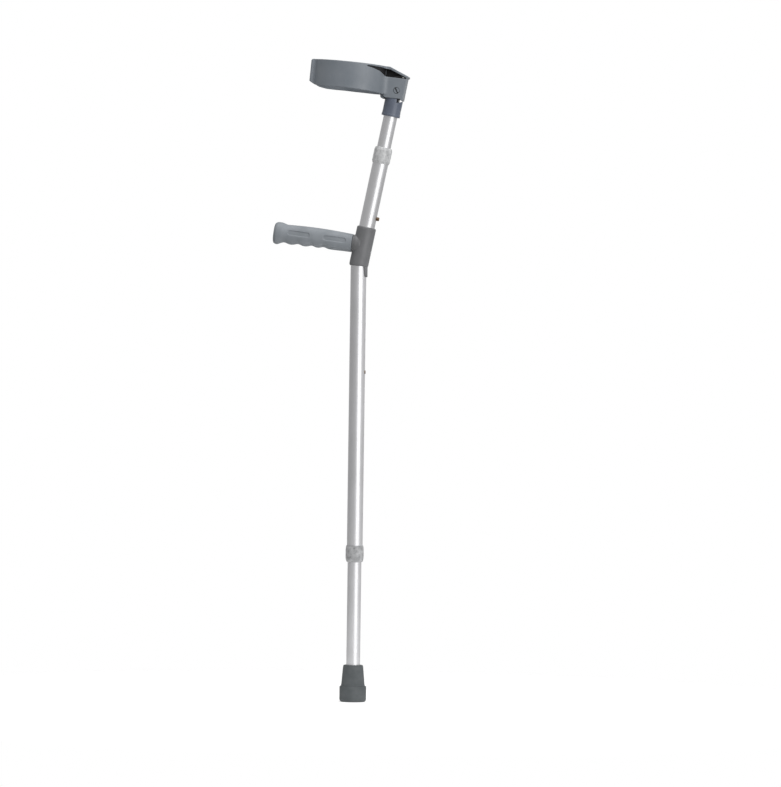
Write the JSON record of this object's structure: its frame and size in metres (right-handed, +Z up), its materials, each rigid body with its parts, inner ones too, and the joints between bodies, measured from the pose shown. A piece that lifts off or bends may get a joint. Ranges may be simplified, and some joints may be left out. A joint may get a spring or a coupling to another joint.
{
  "type": "forearm crutch",
  "caption": "Forearm crutch: telescopic bent aluminium tube, moulded hand grip with finger grooves, hinged open cuff and rubber foot.",
  "frame": {"origin": "centre of the ferrule's flat base", "axes": "+Z up along the lower tube, +X to the rear (the side of the adjustment holes and the cuff hinge), -X forwards along the hand grip, Y across"},
  "size_m": [0.2175, 0.108, 1.0342],
  "materials": {
    "tube": "satin drawn aluminium",
    "bracket": "neutral grey moulded plastic",
    "grip": "soft blue-grey moulded grip",
    "cuff": "blue-grey moulded plastic",
    "socket": "dark blue-grey moulded plastic",
    "pale_collar": "pale translucent grey plastic",
    "grey_collar": "mid grey plastic",
    "plug": "black plastic",
    "foot_rubber": "matt slate grey rubber",
    "ring_rubber": "black rubber",
    "steel": "zinc-plated steel",
    "brass": "aged brass"
  },
  "bodies": {
    "frame": {"handle_tube": "tube", "handle_bracket": "bracket", "bracket_rivet": "steel", "handle_core": "steel", "hand_grip": "grip", "upper_collar": "pale_collar", "upper_collar_ring": "ring_rubber", "lower_collar": "grey_collar", "lower_collar_ring": "ring_rubber"},
    "forearm": {"forearm_tube": "tube", "forearm_end_plug": "plug", "forearm_spring": "steel", "cuff_socket": "socket", "socket_rivet": "steel"},
    "forearm_catch": {"forearm_button": "brass"},
    "cuff": {"cuff_band": "cuff", "cuff_pin": "socket", "cuff_pin_cap": "steel"},
    "leg": {"leg_tube": "tube", "leg_end_plug": "plug", "leg_spring": "steel", "ferrule": "foot_rubber", "ferrule_washer": "steel"},
    "leg_catch": {"leg_button": "brass"}
  },
  "joints": [
    {"name": "leg_slide", "type": "slide", "parent": "frame", "child": "leg", "axis": [0, 0, -1], "range_m": [-0.0762, 0.2286]},
    {"name": "leg_button_press", "type": "slide", "parent": "leg", "child": "leg_catch", "axis": [-1, 0, 0], "range_m": [0, 0.003], "stiffness_N_per_m": 900, "springref_m": -0.004, "deforming": ["leg_spring"]},
    {"name": "forearm_slide", "type": "slide", "parent": "frame", "child": "forearm", "axis": [0.1977, 0, 0.9803], "range_m": [0, 0.0762], "deforming": ["forearm_button"]},
    {"name": "forearm_button_press", "type": "slide", "parent": "forearm", "child": "forearm_catch", "axis": [-0.9803, 0, 0.1977], "range_m": [0, 0.0056], "stiffness_N_per_m": 900, "springref_m": -0.004, "deforming": ["forearm_spring"]},
    {"name": "cuff_pivot", "type": "hinge", "parent": "forearm", "child": "cuff", "pos_m": [0.05898, 0, 0.9846], "axis": [0, 1, 0], "range_deg": [0, 15]}
  ]
}
